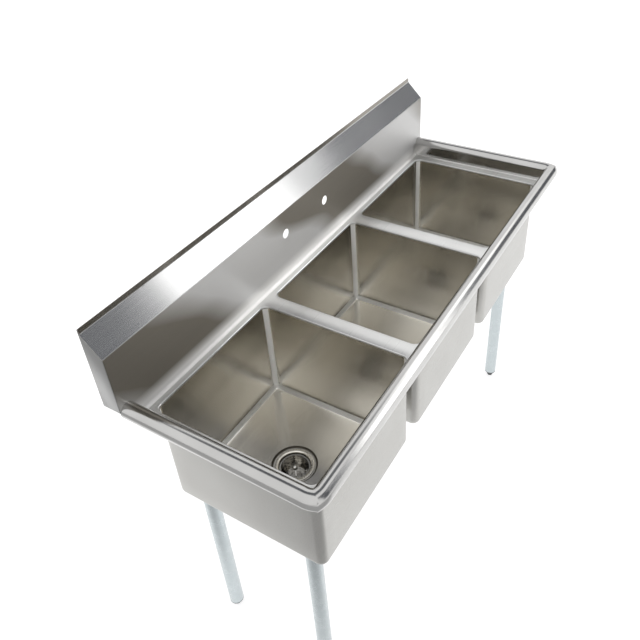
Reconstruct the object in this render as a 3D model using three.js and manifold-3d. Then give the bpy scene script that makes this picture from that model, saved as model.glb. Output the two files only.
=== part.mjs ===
// Three compartment sink: a free-standing stainless steel pot-wash sink.
// Three deep coved bowls hang under one deck. The deck has rolled rims at the
// front and both ends and a high backsplash with two faucet holes at the rear.
// Four tube legs with adjustable feet carry the two end bowls, and each bowl
// drains through a basket strainer.
//
// Units are millimetres and +Z is up. The origin is on the floor under the
// middle of the sink, +X runs along its length and +Y points to the wall.

import * as THREE from 'three';
import { mergeVertices } from 'three/addons/utils/BufferGeometryUtils.js';
import Module from 'manifold-3d';

const wasm = await Module();
wasm.setup();

// ---------------------------------------------------------------- dimensions

const SHEET = 1.5; // 16 gauge stainless steel
const GAP = 0.3; // clearance kept between pieces that touch

const LENGTH = 1524;
const DEPTH = 572;
const DECK_HEIGHT = 877; // top face of the deck above the floor

const BOWL_WIDTH = 426; // each opening along X
const BOWL_FRONT = -226; // Y of the openings' front and rear edges
const BOWL_REAR = 210;
const DIVIDER = 50;
const BOWL_DEPTH = 305;
const COVE = 19; // inside radius of the bowl's corners and floor edges
const BOWL_PITCH = BOWL_WIDTH + DIVIDER;
const SIDES = ['left', 'middle', 'right'];

const ROLL_RADIUS = 20.65; // outside radius of the rolled rim
const ROLL_CENTRE = 38.35; // height of the roll's centre above the deck
const ROLL_ANGLE = (240 * Math.PI) / 180; // how far the sheet curls round

const SPLASH_FACE = 24; // bowl opening to the backsplash's face
const SPLASH_COVE = 8;
const SPLASH_BEND = 203; // height of the bend above the deck
const SPLASH_LIP = 14.5; // upright lip above the slope
const SPLASH_END_BOTTOM = 43; // the end plates stop above the rim's middle
const FAUCET_SPACING = 203.2;
const FAUCET_HEIGHT = 131;
const FAUCET_RADIUS = 14;

const LEG_INSET_X = 122; // leg axis to the end of the sink
const LEG_OFFSET_Y = 160; // leg axis to the middle of the bowls
const LEG_RADIUS = 20.65;
const LEG_BOTTOM = 24.3;
const SOCKET_RADIUS = 25;
const SOCKET_LENGTH = 40;
const SOCKET_FLANGE = 40;
const SCREW_RADIUS = 4;
const SCREW_PROUD = 3; // how far the set screw stands out of the socket
const SCREW_DROP = 28; // set screw axis below the top of the socket
const STEM_RADIUS = 8;
const STEM_TOP = 72;
const INSERT_TOP = 60;
const FOOT_TOP = 20.7;
const FOOT_RADIUS = 12.5;

const RECESS_RADIUS = 61; // pressed seat round the drain
const RECESS_DEPTH = 7;
const DRAIN_RADIUS = 44.6;
const CUP_RADIUS = 44; // outside of the strainer's cup
const FLANGE_RADIUS = 52;
const CUP_FLOOR = 48.5; // depth of the cup's seat under the recess
const OUTLET_RADIUS = 19;
const OUTLET_BOTTOM = 80;

const ROUND = 20; // segments round a small round piece
const SCREW_ROUND = 12;
const DRAIN_ROUND = 24; // segments round the drain pieces

// Derived positions.
const RIM_FRONT = -DEPTH / 2;
const RISER_FRONT = RIM_FRONT + 2 * ROLL_RADIUS;
const RISER_SIDE = LENGTH / 2 - 2 * ROLL_RADIUS;
const SPLASH_Y = BOWL_REAR + SPLASH_FACE;
const LIP_Y = DEPTH / 2 - SHEET;
const SPLASH_SLOPE = LIP_Y - SPLASH_Y; // the slope is at 45 degrees
const SLOPE_TOP = SPLASH_BEND + SPLASH_SLOPE;
const SPLASH_TOP = SLOPE_TOP + SPLASH_LIP;
const BOWL_FLOOR = DECK_HEIGHT - BOWL_DEPTH;
const BOWL_UNDERSIDE = BOWL_FLOOR - SHEET;
const SEAT = BOWL_FLOOR - RECESS_DEPTH; // where the strainer's flange rests

// ----------------------------------------------------------------- materials

const steel = (color, roughness) =>
  new THREE.MeshStandardMaterial({ color, roughness, metalness: 1 });

const MATERIALS = {
  deck_steel: steel(0xc4c3c0, 0.3),
  bowl_steel: steel(0xb5b0a5, 0.38),
  galvanised: steel(0xc6d0d4, 0.55),
  foot_grey: new THREE.MeshStandardMaterial({ color: 0x4d5052, roughness: 0.6, metalness: 0.2 }),
  insert_grey: new THREE.MeshStandardMaterial({ color: 0x3a3c3e, roughness: 0.7, metalness: 0 }),
  screw_steel: steel(0x6a6c6e, 0.4),
  strainer_chrome: steel(0xd8d8d6, 0.15),
  nut_zinc: steel(0xa9abad, 0.45),
  seal_rubber: new THREE.MeshStandardMaterial({ color: 0x1b1b1c, roughness: 0.8, metalness: 0 }),
  washer_fibre: new THREE.MeshStandardMaterial({ color: 0x8a5a3c, roughness: 0.9, metalness: 0 }),
};

// ------------------------------------------------------------------- helpers

const sink = new THREE.Group();

function add(name, geometry, material, x = 0, y = 0, z = 0) {
  const mesh = new THREE.Mesh(geometry, MATERIALS[material]);
  mesh.name = name;
  mesh.position.set(x, y, z);
  sink.add(mesh);
  return mesh;
}

/** A closed geometry as a solid that can be joined and cut. */
function toSolid(geometry) {
  const plain = geometry.clone();
  plain.deleteAttribute('normal');
  plain.deleteAttribute('uv');
  const merged = mergeVertices(plain, 1e-4);
  return new wasm.Manifold(
    new wasm.Mesh({
      numProp: 3,
      vertProperties: new Float32Array(merged.attributes.position.array),
      triVerts: new Uint32Array(merged.index.array),
    }),
  );
}

/** A solid back as a geometry. */
function toGeometry(solid) {
  const { vertProperties, triVerts } = solid.getMesh();
  const geometry = new THREE.BufferGeometry();
  geometry.setAttribute('position', new THREE.BufferAttribute(new Float32Array(vertProperties), 3));
  geometry.setIndex(new THREE.BufferAttribute(new Uint32Array(triVerts), 1));
  geometry.computeVertexNormals();
  return geometry;
}

/** A box between two corners. */
function boxBetween([x0, y0, z0], [x1, y1, z1]) {
  return new THREE.BoxGeometry(x1 - x0, y1 - y0, z1 - z0).translate(
    (x0 + x1) / 2,
    (y0 + y1) / 2,
    (z0 + z1) / 2,
  );
}

/** An upright cylinder between two heights. */
function uprightCylinder(radius, z0, z1, segments = ROUND) {
  return new THREE.CylinderGeometry(radius, radius, z1 - z0, segments)
    .rotateX(Math.PI / 2)
    .translate(0, 0, (z0 + z1) / 2);
}

/** Turns an outline of [radius, height] points about the Z axis. */
function turned(outline, segments = ROUND) {
  const points = outline.map(([radius, height]) => new THREE.Vector2(radius, height));
  return new THREE.LatheGeometry(points, segments).rotateX(Math.PI / 2);
}

/** A ring with a rectangular section. */
function ring(inner, outer, z0, z1, segments = DRAIN_ROUND) {
  return turned([[outer, z0], [outer, z1], [inner, z1], [inner, z0], [outer, z0]], segments);
}

/** The outline of a bowl's opening, centred on x, with round corners and pushed out by grow. */
function opening(x, radius, grow = 0) {
  const right = x + BOWL_WIDTH / 2 + grow - radius;
  const left = x - BOWL_WIDTH / 2 - grow + radius;
  const rear = BOWL_REAR + grow - radius;
  const front = BOWL_FRONT - grow + radius;
  const path = new THREE.Path();
  path.absarc(right, rear, radius, 0, Math.PI / 2);
  path.absarc(left, rear, radius, Math.PI / 2, Math.PI);
  path.absarc(left, front, radius, Math.PI, 1.5 * Math.PI);
  path.absarc(right, front, radius, 1.5 * Math.PI, 2 * Math.PI);
  path.closePath();
  return path;
}

/** An outline in (y, z), extruded along X between two places. */
function alongX(shape, x0, x1, curveSegments = 3) {
  return new THREE.ExtrudeGeometry(shape, { depth: x1 - x0, bevelEnabled: false, curveSegments })
    .rotateY(Math.PI / 2)
    .rotateX(Math.PI / 2)
    .translate(x0, 0, 0);
}

// ---------------------------------------------------------------------- deck

// A flat sheet with the three bowl openings. It runs out under the risers of
// the rims and back to where the backsplash's cove begins.
function deck() {
  const x = RISER_SIDE + SHEET;
  const y0 = RISER_FRONT - SHEET;
  const y1 = SPLASH_Y - SPLASH_COVE - GAP;
  const outline = new THREE.Shape();
  outline.moveTo(-x, y0);
  outline.lineTo(x, y0);
  outline.lineTo(x, y1);
  outline.lineTo(-x, y1);
  outline.closePath();
  outline.holes = SIDES.map((_, i) => opening((i - 1) * BOWL_PITCH, COVE));
  return new THREE.ExtrudeGeometry(outline, {
    depth: SHEET,
    bevelEnabled: false,
    curveSegments: 2,
  });
}

add('deck', deck(), 'deck_steel', 0, 0, DECK_HEIGHT - SHEET);

// ---------------------------------------------------------------------- rims

// The rim's section: a riser that stands on the deck's edge and curls over
// into a roll. u runs outward from the riser's inner face and v up.
function rimSection() {
  const start = Math.PI;
  const end = start - ROLL_ANGLE;
  const section = new THREE.Shape();
  section.moveTo(0, GAP);
  section.lineTo(0, ROLL_CENTRE);
  section.absarc(ROLL_RADIUS, ROLL_CENTRE, ROLL_RADIUS, start, end, true);
  section.absarc(ROLL_RADIUS, ROLL_CENTRE, ROLL_RADIUS - SHEET, end, start, false);
  section.lineTo(SHEET, GAP);
  section.closePath();
  return section;
}

const MITRE_CUT = 6 * ROLL_RADIUS; // size of the block that cuts a corner's mitre

/** A block with one face on the mitre of a front corner; it is cut away from a rim. */
function mitreBlock(side, keepFront) {
  const towardEnd = keepFront ? 1 : -1;
  const shift = towardEnd * (MITRE_CUT / 2 - GAP / 2);
  const normal = new THREE.Vector3(side, 1, 0).normalize().multiplyScalar(shift);
  return new THREE.BoxGeometry(4 * MITRE_CUT, MITRE_CUT, 2 * MITRE_CUT)
    .rotateZ((side * -Math.PI) / 4)
    .translate(side * RISER_SIDE + normal.x, RISER_FRONT + normal.y, ROLL_CENTRE);
}

function frontRim() {
  const section = new THREE.ExtrudeGeometry(rimSection(), {
    depth: LENGTH,
    bevelEnabled: false,
    curveSegments: 8,
  });
  // u points to the front, v up, and the extrusion runs along X.
  const basis = new THREE.Matrix4().makeBasis(
    new THREE.Vector3(0, -1, 0),
    new THREE.Vector3(0, 0, 1),
    new THREE.Vector3(-1, 0, 0),
  );
  basis.setPosition(LENGTH / 2, RISER_FRONT, 0);
  let rim = toSolid(section.applyMatrix4(basis));
  for (const side of [-1, 1]) {
    rim = rim.subtract(toSolid(mitreBlock(side, true)));
  }
  return toGeometry(rim);
}

function endRim(side) {
  const rear = SPLASH_Y - GAP;
  const section = new THREE.ExtrudeGeometry(rimSection(), {
    depth: rear - RIM_FRONT,
    bevelEnabled: false,
    curveSegments: 8,
  });
  // u points outward, v up, and the extrusion runs along Y.
  const basis = new THREE.Matrix4().makeBasis(
    new THREE.Vector3(side, 0, 0),
    new THREE.Vector3(0, 0, 1),
    new THREE.Vector3(0, -side, 0),
  );
  basis.setPosition(side * RISER_SIDE, side > 0 ? rear : RIM_FRONT, 0);
  const rim = toSolid(section.applyMatrix4(basis));
  return toGeometry(rim.subtract(toSolid(mitreBlock(side, false))));
}

add('rim_front', frontRim(), 'deck_steel', 0, 0, DECK_HEIGHT);
add('rim_left', endRim(-1), 'deck_steel', 0, 0, DECK_HEIGHT);
add('rim_right', endRim(1), 'deck_steel', 0, 0, DECK_HEIGHT);

// ---------------------------------------------------------------- backsplash

// One bent sheet: a cove out of the deck, the upright face, a slope back at
// 45 degrees and a short upright lip. Its thickness lies behind its face.
function splashSection() {
  const bend = SHEET * Math.tan(Math.PI / 8); // a mitre at each 45 degree bend
  const section = new THREE.Shape();
  section.moveTo(SPLASH_Y - SPLASH_COVE, 0);
  section.absarc(SPLASH_Y - SPLASH_COVE, SPLASH_COVE, SPLASH_COVE, -Math.PI / 2, 0, false);
  section.lineTo(SPLASH_Y, SPLASH_BEND);
  section.lineTo(LIP_Y, SLOPE_TOP);
  section.lineTo(LIP_Y, SPLASH_TOP);
  section.lineTo(LIP_Y + SHEET, SPLASH_TOP);
  section.lineTo(LIP_Y + SHEET, SLOPE_TOP - bend);
  section.lineTo(SPLASH_Y + SHEET, SPLASH_BEND - bend);
  section.lineTo(SPLASH_Y + SHEET, SPLASH_COVE);
  section.absarc(SPLASH_Y - SPLASH_COVE, SPLASH_COVE, SPLASH_COVE + SHEET, 0, -Math.PI / 2, true);
  section.closePath();
  return section;
}

function backsplash() {
  const half = LENGTH / 2 - SHEET - GAP;
  let sheet = toSolid(alongX(splashSection(), -half, half));
  for (const side of [-1, 1]) {
    const hole = new THREE.CylinderGeometry(FAUCET_RADIUS, FAUCET_RADIUS, 4 * SHEET, ROUND);
    hole.translate((side * FAUCET_SPACING) / 2, SPLASH_Y, FAUCET_HEIGHT);
    // Under the end rims the sheet is notched back to the deck's width.
    const inner = side * RISER_SIDE;
    const outer = side * LENGTH;
    const notch = boxBetween(
      [Math.min(inner, outer), RISER_FRONT, -2 * SHEET],
      [Math.max(inner, outer), DEPTH, SPLASH_END_BOTTOM],
    );
    sheet = sheet.subtract(toSolid(hole)).subtract(toSolid(notch));
  }
  return toGeometry(sheet);
}

// The flat plate that closes each end of the backsplash.
function splashEnd() {
  const outline = new THREE.Shape();
  outline.moveTo(SPLASH_Y, SPLASH_END_BOTTOM);
  outline.lineTo(LIP_Y + SHEET, SPLASH_END_BOTTOM);
  outline.lineTo(LIP_Y + SHEET, SPLASH_TOP);
  outline.lineTo(LIP_Y, SPLASH_TOP);
  outline.lineTo(LIP_Y, SLOPE_TOP);
  outline.lineTo(SPLASH_Y, SPLASH_BEND);
  outline.closePath();
  return alongX(outline, -SHEET / 2, SHEET / 2);
}

add('backsplash', backsplash(), 'deck_steel', 0, 0, DECK_HEIGHT);
const SPLASH_END_X = (LENGTH - SHEET) / 2;
add('splash_end_left', splashEnd(), 'deck_steel', -SPLASH_END_X, 0, DECK_HEIGHT);
add('splash_end_right', splashEnd(), 'deck_steel', SPLASH_END_X, 0, DECK_HEIGHT);

// --------------------------------------------------------------------- bowls

/** A block over a bowl's opening with every edge rounded, from z up to zTop. */
function roundedBlock(grow, radius, z, zTop) {
  const core = 1; // corner radius of the outline that the bevel grows from
  const bevel = radius - core;
  const shape = new THREE.Shape(opening(0, core, grow - bevel).getPoints(2));
  const block = new THREE.ExtrudeGeometry(shape, {
    depth: zTop - z - 2 * bevel,
    bevelThickness: bevel,
    bevelSize: bevel,
    bevelSegments: 4,
  });
  return block.translate(0, 0, z + bevel);
}

// A coved tub with a pressed seat and a hole for the strainer in its floor.
// Its top edge is butted to the deck's opening.
function bowl() {
  const top = DECK_HEIGHT - SHEET - GAP;
  const above = DECK_HEIGHT + 2 * COVE;
  const outside = toSolid(roundedBlock(SHEET, COVE + SHEET, BOWL_UNDERSIDE, above));
  const inside = toSolid(roundedBlock(0, COVE, BOWL_FLOOR, above + SHEET));
  const lid = toSolid(boxBetween([-LENGTH, -DEPTH, top], [LENGTH, DEPTH, above + 2 * SHEET]));
  const seat = uprightCylinder(RECESS_RADIUS + SHEET, SEAT - SHEET, BOWL_FLOOR, DRAIN_ROUND);
  const recess = uprightCylinder(RECESS_RADIUS, SEAT, BOWL_FLOOR + COVE, DRAIN_ROUND);
  const drain = uprightCylinder(DRAIN_RADIUS, SEAT - COVE, BOWL_FLOOR, DRAIN_ROUND);
  return toGeometry(
    outside
      .add(toSolid(seat))
      .subtract(inside)
      .subtract(toSolid(recess))
      .subtract(toSolid(drain))
      .subtract(lid),
  );
}

SIDES.forEach((name, i) => add(`bowl_${name}`, bowl(), 'bowl_steel', (i - 1) * BOWL_PITCH));

// ---------------------------------------------------------------------- legs

// A flanged socket, welded under the bowl, with a hole for its set screw at the rear.
function legSocket() {
  const bore = LEG_RADIUS + GAP;
  const socket = toSolid(
    turned([
      [bore, -SOCKET_LENGTH],
      [SOCKET_RADIUS, -SOCKET_LENGTH],
      [SOCKET_RADIUS, -2 * SHEET],
      [SOCKET_FLANGE, -2 * SHEET],
      [SOCKET_FLANGE, 0],
      [bore, 0],
      [bore, -SOCKET_LENGTH],
    ]),
  );
  const hole = new THREE.CylinderGeometry(SCREW_RADIUS + GAP, SCREW_RADIUS + GAP, SOCKET_RADIUS, SCREW_ROUND)
    .translate(0, SOCKET_RADIUS, -SCREW_DROP);
  return toGeometry(socket.subtract(toSolid(hole)));
}

// A headless screw with a hexagon socket; it presses on the leg.
function setScrew() {
  const length = SOCKET_RADIUS - LEG_RADIUS + SCREW_PROUD;
  const screw = new THREE.CylinderGeometry(SCREW_RADIUS, SCREW_RADIUS, length, SCREW_ROUND);
  const key = new THREE.CylinderGeometry(SCREW_RADIUS / 2, SCREW_RADIUS / 2, length, 6);
  key.translate(0, length / 2, 0);
  return toGeometry(toSolid(screw).subtract(toSolid(key))).translate(0, length / 2, 0);
}

function legTube(top) {
  return ring(LEG_RADIUS - SHEET, LEG_RADIUS, LEG_BOTTOM, top, ROUND);
}

// A plug in the end of the tube, bored and threaded for the foot.
function legInsert() {
  const bore = STEM_RADIUS + GAP;
  const plug = LEG_RADIUS - SHEET - GAP;
  return turned([
    [bore, FOOT_TOP + GAP],
    [LEG_RADIUS, FOOT_TOP + GAP],
    [LEG_RADIUS, LEG_BOTTOM - GAP],
    [plug, LEG_BOTTOM - GAP],
    [plug, INSERT_TOP],
    [bore, INSERT_TOP],
    [bore, FOOT_TOP + GAP],
  ]);
}

// A bullet foot on a threaded stem, screwed all the way in.
function foot() {
  return turned([
    [0, 0],
    [FOOT_RADIUS - 4, 0],
    [FOOT_RADIUS - 2, 3],
    [FOOT_RADIUS - 2, FOOT_TOP - 6],
    [FOOT_RADIUS, FOOT_TOP],
    [STEM_RADIUS, FOOT_TOP],
    [STEM_RADIUS, STEM_TOP],
    [0, STEM_TOP],
  ]);
}

for (const [sideName, side] of [['left', -1], ['right', 1]]) {
  for (const [endName, end] of [['front', -1], ['rear', 1]]) {
    const place = `${endName}_${sideName}`;
    const x = side * (LENGTH / 2 - LEG_INSET_X);
    const y = end * LEG_OFFSET_Y;
    const socketTop = BOWL_UNDERSIDE - GAP;
    const screwY = y + LEG_RADIUS + GAP;
    add(`leg_socket_${place}`, legSocket(), 'deck_steel', x, y, socketTop);
    add(`set_screw_${place}`, setScrew(), 'screw_steel', x, screwY, socketTop - SCREW_DROP);
    add(`leg_tube_${place}`, legTube(socketTop), 'galvanised', x, y);
    add(`leg_insert_${place}`, legInsert(), 'insert_grey', x, y);
    add(`foot_${place}`, foot(), 'foot_grey', x, y);
  }
}

// ----------------------------------------------------------------- strainers

// Heights here are measured from the seat pressed into the bowl's floor.
const FLANGE_TOP = GAP + 2;
const FLANGE_ROUND = 2.5; // the flange rolls down into the cup
const CUP_BEND = -37; // where the cup's side turns in to its floor
const CUP_FLOOR_RADIUS = 24;
const SEAL_BOTTOM = -CUP_FLOOR + GAP;
const SEAL_TOP = SEAL_BOTTOM + 4;
const SEAL_RADIUS = 22;
const BASKET_FLOOR = SEAL_TOP + GAP;
const BASKET_FLOOR_RADIUS = 28;
const BASKET_BEND = -34;
const BASKET_BEND_RADIUS = 37.5;
const BASKET_RADIUS = 38.5;
const BASKET_RIM = 41.5;
const BASKET_TOP = -5;
const BASKET_SHEET = 1;
const POST_RADIUS = 3;
const POST_HEAD = 5; // radius of the rivet head
const KNOB_RADIUS = 7;
const KNOB_EDGE = KNOB_RADIUS - 2;
const KNOB_BOTTOM = -16;
const KNOB_TOP = -2;
const POST_ROUND = 16;

// The flanged cup that drops through the bowl, ending in the outlet pipe.
function strainerBody() {
  const bore = CUP_RADIUS - SHEET;
  return turned(
    [
      [FLANGE_RADIUS, GAP],
      [FLANGE_RADIUS, FLANGE_TOP - 1],
      [FLANGE_RADIUS - 1, FLANGE_TOP],
      [bore + FLANGE_ROUND, FLANGE_TOP],
      [bore, FLANGE_TOP - FLANGE_ROUND],
      [bore, CUP_BEND],
      [CUP_FLOOR_RADIUS, -CUP_FLOOR],
      [OUTLET_RADIUS - SHEET, -CUP_FLOOR],
      [OUTLET_RADIUS - SHEET, -OUTLET_BOTTOM],
      [OUTLET_RADIUS, -OUTLET_BOTTOM],
      [OUTLET_RADIUS, -CUP_FLOOR - SHEET],
      [CUP_FLOOR_RADIUS + SHEET / 3, -CUP_FLOOR - SHEET],
      [CUP_RADIUS, CUP_BEND - SHEET / 2],
      [CUP_RADIUS, GAP],
      [FLANGE_RADIUS, GAP],
    ],
    DRAIN_ROUND,
  );
}

const GASKET_RADIUS = 54;
const GASKET_HEIGHT = 3;
const WASHER_RADIUS = 53;
const WASHER_HEIGHT = 1;

// A ring nut with lugs for a spanner.
const NUT_TOP = -SHEET - 5;
const NUT_BOTTOM = NUT_TOP - 11;
const NUT_RADIUS = 51;
const LUG_COUNT = 6;
const LUG_RADIUS = 55;
const LUG_HALF_WIDTH = 4;

function lockNut() {
  let nut = toSolid(ring(CUP_RADIUS + GAP, NUT_RADIUS, NUT_BOTTOM, NUT_TOP));
  for (let i = 0; i < LUG_COUNT; i += 1) {
    const lug = boxBetween(
      [NUT_RADIUS - LUG_HALF_WIDTH, -LUG_HALF_WIDTH, NUT_BOTTOM],
      [LUG_RADIUS, LUG_HALF_WIDTH, NUT_TOP],
    );
    nut = nut.add(toSolid(lug.rotateZ((i * 2 * Math.PI) / LUG_COUNT)));
  }
  return toGeometry(nut);
}

// The lift-out cup that catches scraps.
function basket() {
  const bore = POST_RADIUS + GAP;
  return turned(
    [
      [bore, BASKET_FLOOR],
      [BASKET_FLOOR_RADIUS, BASKET_FLOOR],
      [BASKET_BEND_RADIUS, BASKET_BEND],
      [BASKET_RADIUS, BASKET_TOP - BASKET_SHEET],
      [BASKET_RIM, BASKET_TOP - BASKET_SHEET],
      [BASKET_RIM, BASKET_TOP],
      [BASKET_RADIUS - BASKET_SHEET, BASKET_TOP],
      [BASKET_BEND_RADIUS - BASKET_SHEET, BASKET_BEND + BASKET_SHEET / 2],
      [BASKET_FLOOR_RADIUS - BASKET_SHEET / 2, BASKET_FLOOR + BASKET_SHEET],
      [bore, BASKET_FLOOR + BASKET_SHEET],
      [bore, BASKET_FLOOR],
    ],
    DRAIN_ROUND,
  );
}

// The pull post: a rivet head under the seal, a stem and a round knob.
function basketPost() {
  return turned(
    [
      [0, SEAL_BOTTOM - 3],
      [POST_HEAD, SEAL_BOTTOM - 3],
      [POST_HEAD, SEAL_BOTTOM - GAP],
      [POST_RADIUS, SEAL_BOTTOM - GAP],
      [POST_RADIUS, KNOB_BOTTOM],
      [KNOB_EDGE, KNOB_BOTTOM + 2],
      [KNOB_RADIUS, KNOB_BOTTOM + 6],
      [KNOB_RADIUS, KNOB_TOP - 4],
      [KNOB_EDGE, KNOB_TOP - 1],
      [0, KNOB_TOP],
    ],
    POST_ROUND,
  );
}

SIDES.forEach((name, i) => {
  const x = (i - 1) * BOWL_PITCH;
  const thread = CUP_RADIUS + GAP;
  const gasketTop = -SHEET - GAP;
  const washerTop = gasketTop - GASKET_HEIGHT - GAP;
  const gasket = ring(thread, GASKET_RADIUS, gasketTop - GASKET_HEIGHT, gasketTop);
  const washer = ring(thread, WASHER_RADIUS, washerTop - WASHER_HEIGHT, washerTop);
  const seal = ring(POST_RADIUS + GAP, SEAL_RADIUS, SEAL_BOTTOM, SEAL_TOP, ROUND);
  add(`strainer_body_${name}`, strainerBody(), 'strainer_chrome', x, 0, SEAT);
  add(`strainer_gasket_${name}`, gasket, 'seal_rubber', x, 0, SEAT);
  add(`friction_washer_${name}`, washer, 'washer_fibre', x, 0, SEAT);
  add(`lock_nut_${name}`, lockNut(), 'nut_zinc', x, 0, SEAT);
  add(`basket_${name}`, basket(), 'strainer_chrome', x, 0, SEAT);
  add(`basket_seal_${name}`, seal, 'seal_rubber', x, 0, SEAT);
  add(`basket_post_${name}`, basketPost(), 'strainer_chrome', x, 0, SEAT);
});

export default sink;
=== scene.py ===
# The looks of a three compartment sink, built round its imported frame.
# Sizes are in metres. Places come from the frame's nodes.
import math

import bmesh
import bpy
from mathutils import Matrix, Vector


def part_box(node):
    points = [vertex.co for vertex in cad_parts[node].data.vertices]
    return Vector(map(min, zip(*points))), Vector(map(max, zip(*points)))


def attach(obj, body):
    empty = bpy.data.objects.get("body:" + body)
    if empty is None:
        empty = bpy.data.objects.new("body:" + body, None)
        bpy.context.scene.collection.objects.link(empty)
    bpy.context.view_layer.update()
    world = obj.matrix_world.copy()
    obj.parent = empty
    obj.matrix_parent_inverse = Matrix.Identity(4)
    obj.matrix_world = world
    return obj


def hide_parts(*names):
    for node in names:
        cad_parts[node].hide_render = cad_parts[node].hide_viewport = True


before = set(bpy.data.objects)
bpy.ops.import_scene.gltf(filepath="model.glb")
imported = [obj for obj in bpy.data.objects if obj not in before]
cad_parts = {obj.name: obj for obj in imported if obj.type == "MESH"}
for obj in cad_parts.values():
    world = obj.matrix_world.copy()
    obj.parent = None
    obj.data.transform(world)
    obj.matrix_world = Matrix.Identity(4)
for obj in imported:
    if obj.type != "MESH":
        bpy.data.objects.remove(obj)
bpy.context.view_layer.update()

MM = 0.001

# ------------------------------------------------------------ sizes and places

deck_low, deck_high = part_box("deck")
rim_low, rim_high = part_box("rim_front")
splash_low, splash_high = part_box("backsplash")
end_low, end_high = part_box("splash_end_right")
bowl_low, bowl_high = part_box("bowl_middle")
strainer_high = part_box("strainer_body_middle")[1]

SIDES = ("left", "middle", "right")
PLACES = ("front_left", "rear_left", "front_right", "rear_right")

SHEET = deck_high.z - deck_low.z
DECK_Z = deck_high.z
HALF_LENGTH = rim_high.x
BOWL_HALF = (bowl_high.x - bowl_low.x) / 2 - SHEET
BOWL_FRONT = bowl_low.y + SHEET
BOWL_REAR = bowl_high.y - SHEET
BOWL_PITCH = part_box("bowl_right")[0].x - bowl_low.x
FLOOR_Z = DECK_Z - 305 * MM
SEAT_Z = strainer_high.z - 2.3 * MM

EDGE = 3.5 * MM  # bend from the deck down into a bowl
CORNER = 20 * MM  # inside radius of the bowl's upright corners
COVE = 18 * MM  # inside radius along the bowl's floor
BOWL_TOP = DECK_Z - 6 * MM

ROLL = (rim_high.y - rim_low.y) / 2
ROLL_Z = rim_high.z - ROLL
RISER_Y = rim_high.y
RISER_X = HALF_LENGTH - 2 * ROLL
RISER_BEND = 4 * MM

SPLASH_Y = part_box("splash_end_right")[0].y
SPLASH_COVE = 8 * MM
SPLASH_BEND = DECK_Z + 203 * MM
LIP_Y = end_high.y - SHEET
SLOPE_TOP = SPLASH_BEND + LIP_Y - SPLASH_Y
SPLASH_TOP = splash_high.z
FAUCET_X = 101.6 * MM
FAUCET_Z = DECK_Z + 131 * MM
FAUCET_RADIUS = 14 * MM

# --------------------------------------------------------------------- camera

CAMERA_PLACE = (-1.3680, -0.7559, 2.0398)
CAMERA_TURN = (53.703, 3.004, -58.857)  # degrees
CAMERA_LENS = 38.52
CAMERA_SHIFT = (-0.0245, -0.0753)


def make_camera():
    data = bpy.data.cameras.new("camera")
    data.lens = CAMERA_LENS
    data.sensor_width = 36
    data.shift_x, data.shift_y = CAMERA_SHIFT
    camera = bpy.data.objects.new("camera", data)
    camera.location = CAMERA_PLACE
    camera.rotation_euler = [math.radians(angle) for angle in CAMERA_TURN]
    bpy.context.scene.collection.objects.link(camera)
    bpy.context.scene.camera = camera


make_camera()

# ------------------------------------------------------------------ materials


class Nodes:
    """Short calls for building one material's node tree."""

    def __init__(self, name, slot_colour):
        self.material = bpy.data.materials.new(name)
        self.material.use_nodes = True
        self.material.diffuse_color = (*slot_colour, 1)
        self.tree = self.material.node_tree
        self.shader = self.tree.nodes["Principled BSDF"]
        self.place = self.add("ShaderNodeTexCoord").outputs["Object"]

    def add(self, kind, **values):
        node = self.tree.nodes.new(kind)
        for key, value in values.items():
            if hasattr(node, key):
                setattr(node, key, value)
            else:
                node.inputs[key.replace("_", " ")].default_value = value
        return node

    def link(self, output, target):
        self.tree.links.new(output, target)

    def noise(self, scale, stretch=(1, 1, 1), detail=2.0):
        mapping = self.add("ShaderNodeMapping")
        mapping.inputs["Scale"].default_value = [scale * s for s in stretch]
        self.link(self.place, mapping.inputs["Vector"])
        noise = self.add("ShaderNodeTexNoise", Scale=1.0, Detail=detail)
        self.link(mapping.outputs["Vector"], noise.inputs["Vector"])
        return noise.outputs["Fac"]

    def mapped(self, value, low, high, start=0.3, end=0.7):
        mapping = self.add("ShaderNodeMapRange", From_Min=start, From_Max=end, To_Min=low, To_Max=high)
        self.link(value, mapping.inputs["Value"])
        return mapping.outputs["Result"]

    def mixed(self, factor, first, second):
        mix = self.add("ShaderNodeMix", data_type="RGBA")
        mix.inputs[6].default_value = (*first, 1)
        mix.inputs[7].default_value = (*second, 1)
        self.link(factor, mix.inputs["Factor"])
        return mix.outputs[2]

    def bump(self, height, strength, distance, under=None):
        bump = self.add("ShaderNodeBump", Strength=strength, Distance=distance)
        self.link(height, bump.inputs["Height"])
        if under is not None:
            self.link(under, bump.inputs["Normal"])
        return bump.outputs["Normal"]

    def set(self, **values):
        for key, value in values.items():
            socket = self.shader.inputs[key.replace("_", " ")]
            if isinstance(value, bpy.types.NodeSocket):
                self.link(value, socket)
            else:
                socket.default_value = value


BAND_LENGTH = 840 * MM  # from one painted reflection band of the backsplash to the next
BAND_EDGE = -430 * MM  # where a light band of painted reflection starts
BAND_LEAN = 150 * MM
BAND_SWAY = 50 * MM
# Heights over which the painted reflection of the deck at the foot of the backsplash fades out.
DECK_REFLECTION_FADE = (DECK_Z + 16 * MM, DECK_Z + 44 * MM)
SLOPE_COLOUR = (0.66, 0.66, 0.655)
# Painted shade along the backsplash's lip.
PAINTED_LIP_SHADE = (0.3, 0.28, 0.25)


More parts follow.
